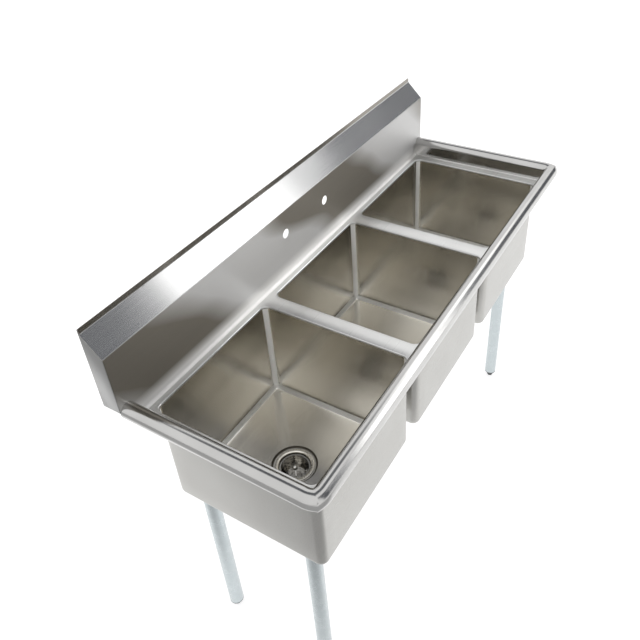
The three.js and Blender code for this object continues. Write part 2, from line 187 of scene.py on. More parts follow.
def painted_reflection_colour(n, light, dark, foot):
    """Soft leaning bands of painted reflection, light and dark by turns along X and evenly spaced,
    with a painted reflection of the deck over the lowest part of the face, a plain slope and a lip
    in painted shade."""
    split = n.add("ShaderNodeSeparateXYZ")
    n.link(n.place, split.inputs["Vector"])
    lean = n.add("ShaderNodeMath", operation="ADD")
    n.link(split.outputs["X"], lean.inputs[0])
    n.link(n.mapped(split.outputs["Z"], -BAND_LEAN, BAND_LEAN, DECK_Z, SPLASH_BEND), lean.inputs[1])
    sway = n.add("ShaderNodeMath", operation="ADD")
    n.link(lean.outputs["Value"], sway.inputs[0])
    n.link(n.mapped(n.noise(2.2, (1.0, 1.0, 2.5), 1.0), -BAND_SWAY, BAND_SWAY), sway.inputs[1])
    turn = n.mapped(sway.outputs["Value"], 0.0, 4 * math.pi, BAND_EDGE, BAND_EDGE + 2 * BAND_LENGTH)
    turn.node.clamp = False
    wave = n.add("ShaderNodeMath", operation="SINE")
    n.link(turn, wave.inputs[0])
    colour = n.mixed(n.mapped(wave.outputs["Value"], 0, 1, -0.4, 0.4), dark, light)
    height = split.outputs["Z"]
    layers = (
        (foot, n.mapped(height, 1, 0, *DECK_REFLECTION_FADE)),
        (SLOPE_COLOUR, n.mapped(height, 0, 1, SPLASH_BEND - 1 * MM, SPLASH_BEND + 1 * MM)),
        (PAINTED_LIP_SHADE, n.mapped(height, 0, 1, SLOPE_TOP + 1 * MM, SLOPE_TOP + 3 * MM)),
    )
    for layer, share in layers:
        over = n.add("ShaderNodeMix", data_type="RGBA")
        over.inputs[7].default_value = (*layer, 1)
        n.link(colour, over.inputs[6])
        n.link(share, over.inputs["Factor"])
        colour = over.outputs[2]
    return colour


PLAIN_WAVE = (1.6, 1.6, 1.6)
FLAT_WAVE = (1, 1, 5)


def brushed_steel(
    name, light, dark, roughness, grain, across, anisotropic=0.6,
    wave=1.0, wave_stretch=PLAIN_WAVE, polish=None, bands=None, painted_light_low=None,
):
    """Sheet steel. grain is the stretch of its brush marks along X, Y and Z, and reflections
    blur most along across. wave is how far from flat the sheet is. polish is a range of heights
    over which the roughness falls to half. Where bands is a colour, it takes turns with dark
    along X as painted reflection, and light is only at the foot, as a painted reflection of the
    deck. deep is painted light, the colour low down in a bowl."""
    n = Nodes(name, light)
    streaks = n.noise(1.0, grain, 3.0)
    sheet_wave = n.noise(2.2, wave_stretch, 0.0)
    rough = n.mapped(streaks, *roughness)
    if polish is not None:
        height = n.add("ShaderNodeSeparateXYZ")
        n.link(n.place, height.inputs["Vector"])
        share = n.add("ShaderNodeMath", operation="MULTIPLY")
        n.link(rough, share.inputs[0])
        n.link(n.mapped(height.outputs["Z"], 1.0, 0.5, *polish), share.inputs[1])
        rough = share.outputs["Value"]
    tangent = n.add("ShaderNodeCombineXYZ", X=across[0], Y=across[1], Z=across[2])
    marks = n.bump(streaks, 0.06, 0.05 * MM, n.bump(sheet_wave, 0.5 * wave, 8 * MM))
    if bands is None:
        smudges = n.noise(9.0, detail=3.0)
        colour = n.mixed(n.mapped(smudges, 0, 1), light, dark)
    else:
        colour = painted_reflection_colour(n, bands, dark, light)
    # Painted light: the colour lightens towards the bowl's floor.
    if painted_light_low is not None:
        depth = n.add("ShaderNodeSeparateXYZ")
        n.link(n.place, depth.inputs["Vector"])
        lower = n.add("ShaderNodeMix", data_type="RGBA")
        n.link(colour, lower.inputs[6])
        lower.inputs[7].default_value = (*painted_light_low, 1)
        n.link(n.mapped(depth.outputs["Z"], 1, 0, FLOOR_Z, DECK_Z), lower.inputs["Factor"])
        colour = lower.outputs[2]
    n.set(
        Base_Color=colour,
        Metallic=1.0,
        Roughness=rough,
        Normal=marks,
        Anisotropic=anisotropic,
        Tangent=tangent.outputs["Vector"],
    )
    return n.material


def cast_metal(name, light, dark, roughness, grain_size):
    """Plain metal with a fine mottle."""
    n = Nodes(name, light)
    mottle = n.noise(1 / grain_size)
    n.set(
        Base_Color=n.mixed(n.mapped(mottle, 0, 1), light, dark),
        Metallic=1.0,
        Roughness=n.mapped(mottle, *roughness),
        Normal=n.bump(mottle, 0.1, 0.2 * MM),
    )
    return n.material


def moulded(name, light, dark, roughness, grain_size):
    """Plastic, rubber or fibre board with a moulded grain."""
    n = Nodes(name, light)
    grain = n.noise(1 / grain_size)
    patches = n.noise(40.0)
    n.set(
        Base_Color=n.mixed(n.mapped(patches, 0, 1), light, dark),
        Roughness=n.mapped(grain, *roughness),
        Normal=n.bump(grain, 0.25, 0.1 * MM),
    )
    return n.material


ALONG_X = (6, 900, 900)
ALONG_Y = (900, 6, 900)
UP_THE_FACE = (0.0, 0.5, 1.0)

DECK_STEEL = brushed_steel(
    "deck_steel", (0.72, 0.72, 0.71), (0.67, 0.67, 0.66), (0.27, 0.35), ALONG_X, UP_THE_FACE, 0.8
)
# The backsplash's colour holds painted reflection bands, a painted reflection of the deck at its foot and
# painted shade on its lip.
SPLASH_STEEL = brushed_steel(
    "splash_steel", (0.95, 0.94, 0.92), (0.27, 0.25, 0.215), (0.45, 0.52), ALONG_X, UP_THE_FACE, 0.9,
    polish=(SPLASH_BEND - 2 * MM, SPLASH_BEND + 2 * MM), bands=(0.7, 0.695, 0.685),
)
# Darker than the other steel: painted shade for the splash's end plates and the backsplash's back.
END_SHADE_STEEL = brushed_steel(
    "end_painted_shade", (0.42, 0.42, 0.415), (0.39, 0.39, 0.385), (0.3, 0.36), ALONG_Y, (0.0, 0.0, 1.0), 0.4
)
RIM_STEEL = brushed_steel(
    "rim_steel", (0.62, 0.615, 0.605), (0.55, 0.545, 0.535), (0.13, 0.2), ALONG_X, UP_THE_FACE, 0.0, 0.6
)
# The bowls' colour lightens towards their floors as painted light.
BOWL_STEEL = brushed_steel(
    "bowl_steel", (0.46, 0.437, 0.387), (0.4, 0.38, 0.333), (0.19, 0.26), ALONG_X, (0.1, 0.2, 1.0), 0.5,
    wave=1.1, wave_stretch=FLAT_WAVE, painted_light_low=(0.78, 0.76, 0.71),
)
# Ground welds along the bowls' corners and coves, near-white as a painted highlight.
WELD_AND_HIGHLIGHT_STEEL = brushed_steel(
    "weld_and_highlight_steel", (0.97, 0.97, 0.95), (0.9, 0.89, 0.86), (0.8, 0.9), ALONG_X, (0.0, 0.0, 1.0), 0.85
)
BOWL_OUTSIDE = brushed_steel(
    "bowl_outside", (0.5, 0.495, 0.475), (0.475, 0.467, 0.447), (0.26, 0.32), ALONG_X, (0.1, 0.2, 1.0), 0.3
)
GALVANISED = cast_metal("galvanised", (0.56, 0.61, 0.625), (0.535, 0.585, 0.6), (0.25, 0.33), 30 * MM)
CHROME = cast_metal("chrome", (0.78, 0.78, 0.77), (0.7, 0.7, 0.69), (0.05, 0.14), 15 * MM)
ZINC = cast_metal("zinc", (0.55, 0.56, 0.57), (0.45, 0.46, 0.47), (0.4, 0.6), 2 * MM)
# Chrome made darker for the basket, a painted dark reflection.
BASKET_DARK_REFLECTION_STEEL = cast_metal("basket_painted_dark_reflection", (0.52, 0.51, 0.49), (0.42, 0.41, 0.39), (0.06, 0.14), 15 * MM)
FLANGE_STEEL = cast_metal("flange_steel", (0.9, 0.87, 0.8), (0.82, 0.79, 0.72), (0.22, 0.32), 15 * MM)
# Painted shade inside the strainer's cup.
CUP_SHADE_STEEL = cast_metal("cup_painted_shade", (0.3, 0.29, 0.27), (0.24, 0.23, 0.21), (0.12, 0.2), 15 * MM)
# Painted shade for the wall of the drain recess.
RECESS_SHADE_STEEL = cast_metal("recess_painted_shade", (0.13, 0.12, 0.1), (0.09, 0.085, 0.07), (0.4, 0.5), 5 * MM)
SCREW_STEEL = cast_metal("screw_steel", (0.32, 0.32, 0.33), (0.25, 0.25, 0.26), (0.3, 0.5), 2 * MM)
FOOT_GREY = moulded("foot_grey", (0.09, 0.095, 0.1), (0.06, 0.065, 0.07), (0.4, 0.6), 1 * MM)
INSERT_GREY = moulded("insert_grey", (0.05, 0.055, 0.06), (0.035, 0.04, 0.04), (0.5, 0.7), 1 * MM)
RUBBER = moulded("seal_rubber", (0.015, 0.015, 0.016), (0.022, 0.022, 0.022), (0.6, 0.8), 0.8 * MM)
FIBRE = moulded("washer_fibre", (0.25, 0.13, 0.07), (0.19, 0.1, 0.05), (0.75, 0.9), 0.5 * MM)

# ----------------------------------------------------------------- mesh making


def mesh_object(name, points, faces):
    mesh = bpy.data.meshes.new(name)
    mesh.from_pydata(points, [], faces)
    mesh.validate()
    obj = bpy.data.objects.new(name, mesh)
    bpy.context.scene.collection.objects.link(obj)
    return obj


def lofted(rows, ring=False, first=0):
    """Faces between equally long rows of points; ring closes each row on itself."""
    count = len(rows[0])
    faces = []
    for row in range(len(rows) - 1):
        for i in range(count if ring else count - 1):
            a = first + row * count + i
            b = first + row * count + (i + 1) % count
            faces.append((a, b, b + count, a + count))
    return faces


def join_points(obj, distance=0.02 * MM):
    """Merges points that meet and turns every face outward."""
    bm = bmesh.new()
    bm.from_mesh(obj.data)
    bmesh.ops.remove_doubles(bm, verts=bm.verts, dist=distance)
    bmesh.ops.recalc_face_normals(bm, faces=bm.faces)
    bm.to_mesh(obj.data)
    bm.free()


def settle(obj, sharp=35):
    """Makes the modifiers' result the mesh, smooth but for edges over sharp degrees."""
    graph = bpy.context.evaluated_depsgraph_get()
    mesh = bpy.data.meshes.new_from_object(obj.evaluated_get(graph))
    obj.modifiers.clear()
    obj.data = mesh
    join_points(obj)
    mesh.shade_smooth()
    mesh.set_sharp_from_angle(angle=math.radians(sharp))


def thicken(obj, thickness=SHEET, offset=-1, back=0):
    """Gives a sheet its thickness; offset -1 adds it behind the faces, 1 in front. back is how
    much further down the list of materials the added faces find theirs."""
    solid = obj.modifiers.new("sheet", "SOLIDIFY")
    solid.thickness = thickness
    solid.offset = offset
    solid.use_even_offset = True
    solid.material_offset = back


def cut(obj, cutters):
    for cutter in cutters:
        boolean = obj.modifiers.new("cut", "BOOLEAN")
        boolean.object = cutter
        boolean.solver = "EXACT"
    bpy.context.view_layer.update()
    settle(obj)
    for cutter in cutters:
        bpy.data.objects.remove(cutter)


def bevelled(obj, width, segments=2):
    bevel = obj.modifiers.new("bevel", "BEVEL")
    bevel.width = width
    bevel.segments = segments
    bevel.limit_method = "ANGLE"


def dress(obj, material, body, slot, *nodes):
    """Gives a piece its body, the CAD nodes that it stands for and, if it has none, a material. slot is not
    used.
    """
    if not obj.data.materials:
        obj.data.materials.append(material)
    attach(obj, body)
    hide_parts(*nodes)


def arc(centre, radius, start, end, steps):
    """Points on an arc, in degrees, both ends included."""
    points = []
    for i in range(steps + 1):
        angle = math.radians(start + (end - start) * i / steps)
        points.append((centre[0] + radius * math.cos(angle), centre[1] + radius * math.sin(angle)))
    return points


def turned(name, outline, x, y, z, steps=48):
    """A solid turned about an upright axis. The outline is (radius, height) in mm and closed by its ends."""
    rows = []
    for radius, height in outline:
        row = []
        for i in range(steps):
            angle = 2 * math.pi * i / steps
            out = radius * MM
            row.append((x + out * math.cos(angle), y + out * math.sin(angle), z + height * MM))
        rows.append(row)
    obj = mesh_object(name, [p for row in rows for p in row], lofted(rows, ring=True))
    join_points(obj)
    obj.data.shade_smooth()
    obj.data.set_sharp_from_angle(angle=math.radians(40))
    return obj


def turned_ring(name, outline, x, y, z, steps=48):
    """A turned solid whose outline closes on itself, such as a washer."""
    return turned(name, outline + outline[:1], x, y, z, steps)


# -------------------------------------------------------------- bowl openings

CORNER_STEPS = 8  # even, so that a point lies on each diagonal
SIDE_STEPS = 12


def opening_ring(x, grow, radius, z):
    """Points round a bowl's opening at x, pushed out by grow, with round corners."""
    points = []
    right, left = x + BOWL_HALF + grow - radius, x - BOWL_HALF - grow + radius
    rear, front = BOWL_REAR + grow - radius, BOWL_FRONT - grow + radius
    centres = [(right, rear), (left, rear), (left, front), (right, front)]
    for quarter, centre in enumerate(centres):
        points += arc(centre, radius, 90 * quarter, 90 * quarter + 90, CORNER_STEPS)
        start = Vector(points[-1])
        end = Vector(arc(centres[(quarter + 1) % 4], radius, 90 * quarter + 90, 90 * quarter + 90, 1)[0])
        for step in range(1, SIDE_STEPS):
            points.append(tuple(start.lerp(end, step / SIDE_STEPS)))
    return [(px, py, z) for px, py in points]


RING_POINTS = 4 * (CORNER_STEPS + SIDE_STEPS)


def circle(x, radius, z):
    """As many points round a circle, those on the diagonals at the same index."""
    points = []
    for i in range(RING_POINTS):
        angle = 2 * math.pi * (i - CORNER_STEPS / 2) / RING_POINTS + math.pi / 4
        points.append((x + radius * math.cos(angle), radius * math.sin(angle), z))
    return points


# ------------------------------------------------------------------------ deck


def cell_edge(x, grow, radius, x0, x1, y0, y1):
    """The ring of a bowl's opening pushed out to the rectangle of deck around it."""
    points = []
    for i, (px, py, _) in enumerate(opening_ring(x, grow, radius, DECK_Z)):
        quarter, step = divmod(i, CORNER_STEPS + SIDE_STEPS)
        if step > CORNER_STEPS:  # on a straight side
            sides = [(px, y1), (x0, py), (px, y0), (x1, py)]
            points.append((*sides[quarter], DECK_Z))
            continue
        corner_x = x1 if quarter in (0, 3) else x0
        corner_y = y1 if quarter in (0, 1) else y0
        arc_x = x + (BOWL_HALF + grow - radius) * (1 if quarter in (0, 3) else -1)
        arc_y = BOWL_REAR + grow - radius if quarter in (0, 1) else BOWL_FRONT - grow + radius
        share = step / (CORNER_STEPS / 2)
        before_corner = share <= 1
        share = share if before_corner else 2 - share
        on_x_side = before_corner == (quarter in (0, 2))
        if on_x_side:
            points.append((corner_x, arc_y + (corner_y - arc_y) * share, DECK_Z))
        else:
            points.append((arc_x + (corner_x - arc_x) * share, corner_y, DECK_Z))
    return points


def make_deck():
    y0 = RISER_Y + RISER_BEND
    y1 = SPLASH_Y - SPLASH_COVE
    x_end = RISER_X - RISER_BEND
    edges = [-x_end, -BOWL_PITCH / 2, BOWL_PITCH / 2, x_end]
    points, faces = [], []
    for i in range(3):
        x = (i - 1) * BOWL_PITCH
        rows = [cell_edge(x, EDGE, CORNER + EDGE, edges[i], edges[i + 1], y0, y1)]
        for out, down in arc((0, 0), EDGE, 90, 0, 5):
            # down runs from EDGE at the deck to 0 at the foot of the bend
            offset = EDGE - out
            rows.append(opening_ring(x, offset, CORNER + offset, DECK_Z - EDGE + down))
        rows.append(opening_ring(x, 0, CORNER, BOWL_TOP))
        faces += lofted(rows, ring=True, first=len(points))
        points += [p for row in rows for p in row]
    deck = mesh_object("deck_sheet", points, faces)
    join_points(deck)
    if sum(f.normal.z for f in deck.data.polygons) < 0:
        deck.data.flip_normals()
    thicken(deck)
    settle(deck)
    dress(deck, DECK_STEEL, "sink", "deck_steel", "deck")


make_deck()

# ----------------------------------------------------------------------- bowls

FLOOR_PITCH = 2.5 * MM  # fall from the bowl's sides to its drain
RECESS = ((62, 0), (61.4, -0.5), (60.8, -1.8), (60.1, -3.4), (59, -4.3), (57, -4.5), (44.8, -4.5))


def bowl_floor_row(x, share):
    """A ring of the floor between its sides (share 0) and the drain's seat (share 1)."""
    outer = opening_ring(x, -COVE, CORNER - COVE, FLOOR_Z)
    inner = circle(x, RECESS[0][0] * MM, FLOOR_Z)
    drain = RECESS[0][0] * MM
    row = []
    for a, b in zip(outer, inner):
        px, py, _ = Vector(a).lerp(Vector(b), share)
        # Four flat faces fall to the drain and meet in creases on the diagonals.
        side = BOWL_REAR if py > 0 else -BOWL_FRONT
        across = (BOWL_HALF - COVE - abs(px - x)) / (BOWL_HALF - COVE - drain)
        along = (side - COVE - abs(py)) / (side - COVE - drain)
        fall = FLOOR_PITCH * min(1, across, along)
        row.append((px, py, FLOOR_Z - max(fall, FLOOR_PITCH * share**3)))
    return row


RECESS_SHADE_INNER = 57.5 * MM  # painted shade on the drain recess's sloping wall round a strainer's flange
RECESS_SHADE_OUTER = 61.7 * MM
WELD_AND_HIGHLIGHT_REACH = 0.62  # share of a corner's or cove's radius that the ground weld and its painted highlight reach from either side
WELD_AND_HIGHLIGHT_FOOT = 0.04  # share of a cove's radius below which the floor stays plain


def make_bowl(side):
    node = f"bowl_{side}"
    low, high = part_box(node)
    x = (low.x + high.x) / 2
    wall_foot = FLOOR_Z + COVE
    rows = []
    for i in range(7):
        z = BOWL_TOP + (wall_foot - BOWL_TOP) * i / 6
        rows.append(opening_ring(x, 0, CORNER, z))
    for inward, down in arc((0, 0), COVE, 0, 90, 8)[1:-1]:
        rows.append(opening_ring(x, inward - COVE, CORNER - COVE + inward, wall_foot - down))
    rows += [bowl_floor_row(x, i / 8) for i in range(9)]
    floor_edge = FLOOR_Z - FLOOR_PITCH
    rows += [circle(x, radius * MM, floor_edge + depth * MM) for radius, depth in RECESS[1:]]
    bowl = mesh_object(f"{node}_tub", [p for row in rows for p in row], lofted(rows, ring=True))
    join_points(bowl)
    inward = sum(f.normal.x * (f.center.x - x) for f in bowl.data.polygons) < 0
    if not inward:
        bowl.data.flip_normals()
    for material in (BOWL_STEEL, WELD_AND_HIGHLIGHT_STEEL, RECESS_SHADE_STEEL, BOWL_OUTSIDE, BOWL_OUTSIDE, BOWL_OUTSIDE):
        bowl.data.materials.append(material)
    middle_y = (BOWL_FRONT + BOWL_REAR) / 2
    half_y = (BOWL_REAR - BOWL_FRONT) / 2
    for face in bowl.data.polygons:
        # how far the face lies inside the nearest end and the nearest front or rear side
        beside = BOWL_HALF - abs(face.center.x - x)
        before = half_y - abs(face.center.y - middle_y)
        upright = max(beside, before) < WELD_AND_HIGHLIGHT_REACH * CORNER
        low_down = WELD_AND_HIGHLIGHT_FOOT * COVE < face.center.z - FLOOR_Z < WELD_AND_HIGHLIGHT_REACH * COVE
        along_floor = low_down and min(beside, before) < WELD_AND_HIGHLIGHT_REACH * COVE
        # Faces on the ground welds get the near-white steel, a painted highlight.
        face.material_index = int(upright or along_floor)
        # Painted shade on the recess's wall round the drain.
        if RECESS_SHADE_INNER < math.hypot(face.center.x - x, face.center.y) < RECESS_SHADE_OUTER:
            face.material_index = 2
    thicken(bowl, back=3)
    settle(bowl)
    dress(bowl, BOWL_STEEL, "sink", "bowl_steel", node)


for side in SIDES:
    make_bowl(side)

# ------------------------------------------------------------------------ rims

CORNER_BEND = 6 * MM  # plan radius of the riser at a front corner
MITRE_SHARE = 0.35  # 0 for a round corner, 1 for a sharp mitre


def rim_section():
    """(out, up) from the riser's inner face and the deck: a bend, the riser and the roll."""
    up = ROLL_Z - DECK_Z
    section = [(-RISER_BEND - 1 * MM, -0.2 * MM)]
    section += arc((-RISER_BEND, RISER_BEND), RISER_BEND, -90, 0, 4)
    section += arc((ROLL, up), ROLL, 180, -60, 36)
    return section


def rim_row(out, up):
    """One point of the section carried along the left end, the front and the right end."""
    z = DECK_Z + up
    row = [(-RISER_X - out, SPLASH_Y + (RISER_Y + CORNER_BEND - SPLASH_Y) * i / 12, z) for i in range(12)]
    for centre_x, start in ((-RISER_X + CORNER_BEND, 180), (RISER_X - CORNER_BEND, 270)):
        steps = 16
        for i in range(steps + 1):
            angle = math.radians(start + 90 * i / steps)
            c, s = math.cos(angle), math.sin(angle)
            reach = (out + CORNER_BEND) * (1 + MITRE_SHARE * (1 / max(abs(c), abs(s)) - 1))
            row.append((centre_x + reach * c, RISER_Y + CORNER_BEND + reach * s, z))
        if start == 180:
            span = 2 * (RISER_X - CORNER_BEND)
            row += [
                (-RISER_X + CORNER_BEND + span * i / 30, RISER_Y - out, z)
                for i in range(1, 30)
            ]
    row += [
        (RISER_X + out, RISER_Y + CORNER_BEND + (SPLASH_Y - RISER_Y - CORNER_BEND) * i / 12, z)
        for i in range(1, 13)
    ]
    return row


def make_rims():
    rows = [rim_row(out, up) for out, up in rim_section()]
    rim = mesh_object("rolled_rims", [p for row in rows for p in row], lofted(rows))
    # The roll's faces point away from its middle, so the thickness goes inside it.
    top = max(rim.data.polygons, key=lambda f: f.center.z)
    if top.normal.z < 0:
        rim.data.flip_normals()
    thicken(rim)
    settle(rim)
    dress(rim, RIM_STEEL, "sink", "deck_steel", "rim_front", "rim_left", "rim_right")


make_rims()

# ------------------------------------------------------------------ backsplash


def bend_points(corner, before, after, radius, steps=4):
    """A round bend at a corner of an outline."""
    a = (Vector(before) - Vector(corner)).normalized()
    b = (Vector(after) - Vector(corner)).normalized()
    half = a.angle(b) / 2
    reach = radius / math.tan(half)
    centre = Vector(corner) + (a + b).normalized() * (radius / math.sin(half))
    start = (Vector(corner) + a * reach - centre).normalized()
    end = (Vector(corner) + b * reach - centre).normalized()
    return [tuple(centre + start.slerp(end, i / steps) * radius) for i in range(steps + 1)]


def splash_section():
    """(y, z) up the face of the backsplash, from the deck to the lip's top."""
    foot = (SPLASH_Y, DECK_Z + SPLASH_COVE)
    bend = (SPLASH_Y, SPLASH_BEND)
    slope = (LIP_Y, SLOPE_TOP)
    lip = (LIP_Y, SPLASH_TOP)
    section = [(SPLASH_Y - SPLASH_COVE - 1 * MM, DECK_Z - 0.2 * MM)]
    section += arc((SPLASH_Y - SPLASH_COVE, DECK_Z + SPLASH_COVE), SPLASH_COVE, -90, 0, 6)
    section += bend_points(bend, foot, slope, 3 * MM)
    section += bend_points(slope, bend, lip, 2.5 * MM)
    return section + [lip]


def box_cutter(low, high):
    xs, ys, zs = zip(low, high)
    points = [(x, y, z) for x in xs for y in ys for z in zs]
    faces = [(0, 1, 3, 2), (4, 6, 7, 5), (0, 4, 5, 1), (2, 3, 7, 6), (0, 2, 6, 4), (1, 5, 7, 3)]
    cutter = mesh_object("cutter", points, faces)
    join_points(cutter)
    return cutter


def pin_cutter(x, y, z, radius, length, steps=48):
    """A cylinder along Y."""
    angles = [2 * math.pi * i / steps for i in range(steps)]
    ends = []
    for end in (-length / 2, length / 2):
        ends.append([(x + radius * math.cos(a), y + end, z + radius * math.sin(a)) for a in angles])
    faces = lofted(ends, ring=True)
    faces += [tuple(range(steps)), tuple(range(2 * steps - 1, steps - 1, -1))]
    cutter = mesh_object("cutter", ends[0] + ends[1], faces)
    join_points(cutter)
    return cutter


def make_backsplash():
    columns = 48
    length = splash_high.x - splash_low.x
    rows = []
    for y, z in splash_section():
        rows.append([(splash_low.x + length * i / columns, y, z) for i in range(columns + 1)])
    sheet = mesh_object("backsplash_sheet", [p for row in rows for p in row], lofted(rows))
    if sum(f.normal.y for f in sheet.data.polygons) > 0:
        sheet.data.flip_normals()
    # The backsplash's back takes the end plates' painted shade.
    for material in (SPLASH_STEEL, END_SHADE_STEEL):
        sheet.data.materials.append(material)
    thicken(sheet, back=1)
    settle(sheet)
    cutters = [pin_cutter(side * FAUCET_X, SPLASH_Y, FAUCET_Z, FAUCET_RADIUS, 20 * MM) for side in (-1, 1)]
    for x0, x1 in ((-2 * HALF_LENGTH, -RISER_X), (RISER_X, 2 * HALF_LENGTH)):
        low = (x0, SPLASH_Y - 50 * MM, DECK_Z - 10 * MM)
        high = (x1, SPLASH_Y + 50 * MM, end_low.z)
        cutters.append(box_cutter(low, high))
    cut(sheet, cutters)
    dress(sheet, SPLASH_STEEL, "sink", "deck_steel", "backsplash")


def make_splash_end(side):
    node = f"splash_end_{side}"
    low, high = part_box(node)
    outline = [
        (low.y, low.z), (high.y, low.z), (high.y, high.z),
        (LIP_Y, high.z), (LIP_Y, SLOPE_TOP), (low.y, SPLASH_BEND),
    ]
    rows = [[(x, y, z) for y, z in outline] for x in (low.x, high.x)]
    count = len(outline)
    faces = lofted(rows, ring=True) + [tuple(range(count)), tuple(range(2 * count - 1, count - 1, -1))]
    plate = mesh_object(f"{node}_plate", rows[0] + rows[1], faces)
    join_points(plate)
    bevelled(plate, 0.6 * MM)
    settle(plate, 50)
    dress(plate, END_SHADE_STEEL, "sink", "deck_steel", node)


make_backsplash()
make_splash_end("left")
make_splash_end("right")

# ------------------------------------------------------------------------ legs


def node_middle(node):
    low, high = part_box(node)
    return (low.x + high.x) / 2, (low.y + high.y) / 2, low.z, high.z


def make_leg(place):
    x, y, bottom, top = node_middle(f"leg_tube_{place}")
    height = (top - bottom) / MM
    tube = turned_ring(
        f"leg_{place}_tube",
        [(19.15, 0), (20.3, 0), (20.65, 0.4), (20.65, height), (19.15, height)],
        x, y, bottom,
    )
    dress(tube, GALVANISED, "sink", "galvanised", f"leg_tube_{place}")

    _, _, bottom, top = node_middle(f"leg_socket_{place}")
    height = (top - bottom) / MM
    socket = turned_ring(
        f"leg_{place}_socket",
        [
            (20.95, 0), (24.2, 0), (25, 0.8), (25, height - 6), (25.8, height - 4.2), (27.5, height - 3),
            (39.2, height - 3), (40, height - 2.2), (40, height), (20.95, height),
        ],
        x, y, bottom,
    )
    dress(socket, ZINC, "sink", "deck_steel", f"leg_socket_{place}")

    _, _, bottom, top = node_middle(f"leg_insert_{place}")
    height = (top - bottom) / MM
    insert = turned_ring(
        f"leg_{place}_insert",
        [(8.3, 0), (19.9, 0), (20.65, 0.8), (20.65, 3), (18.85, 3), (18.85, height), (8.3, height)],
        x, y, bottom,
    )
    dress(insert, INSERT_GREY, "sink", "insert_grey", f"leg_insert_{place}")

    _, _, bottom, top = node_middle(f"foot_{place}")
    stem = [(8, 20.7)]
    for turn in range(25):  # a coarse thread
        stem += [(8, 21.2 + 2 * turn), (7.1, 21.9 + 2 * turn), (8, 22.6 + 2 * turn)]
    foot = turned(
        f"leg_{place}_foot",
        [(0, 0), (8.3, 0), (9.3, 0.6), (10.5, 3), (10.5, 14.6), (10.9, 15.6), (12.5, 20.1), (12.3, 20.7)]
        + stem + [(7.4, 72), (0, 72)],
        x, y, bottom, 32,
    )
    dress(foot, FOOT_GREY, f"foot_{place}", "foot_grey", f"foot_{place}")


for place in PLACES:
    make_leg(place)
    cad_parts[f"set_screw_{place}"].data.materials.clear()
    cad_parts[f"set_screw_{place}"].data.materials.append(SCREW_STEEL)

# ------------------------------------------------------------------- strainers

# (radius, height) in mm, heights from the seat pressed into the bowl's floor.
CUP = [
    (52, 0.3), (52.4, 1.0), (51.9, 1.9), (50.5, 2.3), (47.5, 2.2), (45, 1.5), (43.2, 0.2),
    (42.5, -2), (42.5, -36), (41.6, -37.6), (26, -47.3), (23.5, -48.5), (17.5, -48.5), (17.5, -80),
    (19, -80), (19, -50), (24.5, -50), (43.2, -38.6), (44, -37), (44, 0.3),
]
BASKET = [
    (41.5, -5), (38.2, -5.2), (37.9, -14), (37.6, -23), (37.2, -33), (29, -42.6), (20, -43.2), (9, -43.2),
    (3.6, -43.2),
]
BASKET_HOLES = {1: 2, 2: 2, 3: 2, 4: 1.8, 5: 1.5, 6: 1.2}  # radius in each stretch of the basket
POST = [
    (0, -51.2), (4.4, -51.2), (5, -50.6), (5, -48.5), (3, -48.5), (3, -18), (3.6, -16.6), (5.4, -15.4),
    (6.6, -13.4), (7, -10.8), (6.8, -8), (5.9, -5), (4.2, -3), (2.2, -2.2), (0, -2),
]


def perforated(name, profile, holes, x, z, around=24):
    """A thin turned cup with round holes: holes maps a stretch of the profile to a hole radius in mm."""
    points, faces = [], []

    def at(turn, share, row):
        (r0, h0), (r1, h1) = profile[row], profile[row + 1]
        radius, height = r0 + (r1 - r0) * share, h0 + (h1 - h0) * share
        angle = 2 * math.pi * turn / around
        return (x + radius * MM * math.cos(angle), radius * MM * math.sin(angle), z + height * MM)

    for row in range(len(profile) - 1):
        (r0, h0), (r1, h1) = profile[row], profile[row + 1]
        tall = math.hypot(r1 - r0, h1 - h0)
        wide = math.pi * (r0 + r1) / around
        for i in range(around):
            first = len(points)
            square = [(0, 0), (0.5, 0), (1, 0), (1, 0.5), (1, 1), (0.5, 1), (0, 1), (0, 0.5)]
            points += [at(i + u, v, row) for u, v in square]
            if row not in holes:
                faces.append(tuple(range(first, first + 8)))
                continue
            for step in range(8):
                angle = math.radians(225 + 45 * step)
                u = 0.5 + holes[row] * math.cos(angle) / wide
                v = 0.5 + holes[row] * math.sin(angle) / tall
                points.append(at(i + u, v, row))
            for step in range(8):
                after = (step + 1) % 8
                faces.append((first + step, first + after, first + 8 + after, first + 8 + step))
    cup = mesh_object(name, points, faces)
    join_points(cup)
    return cup


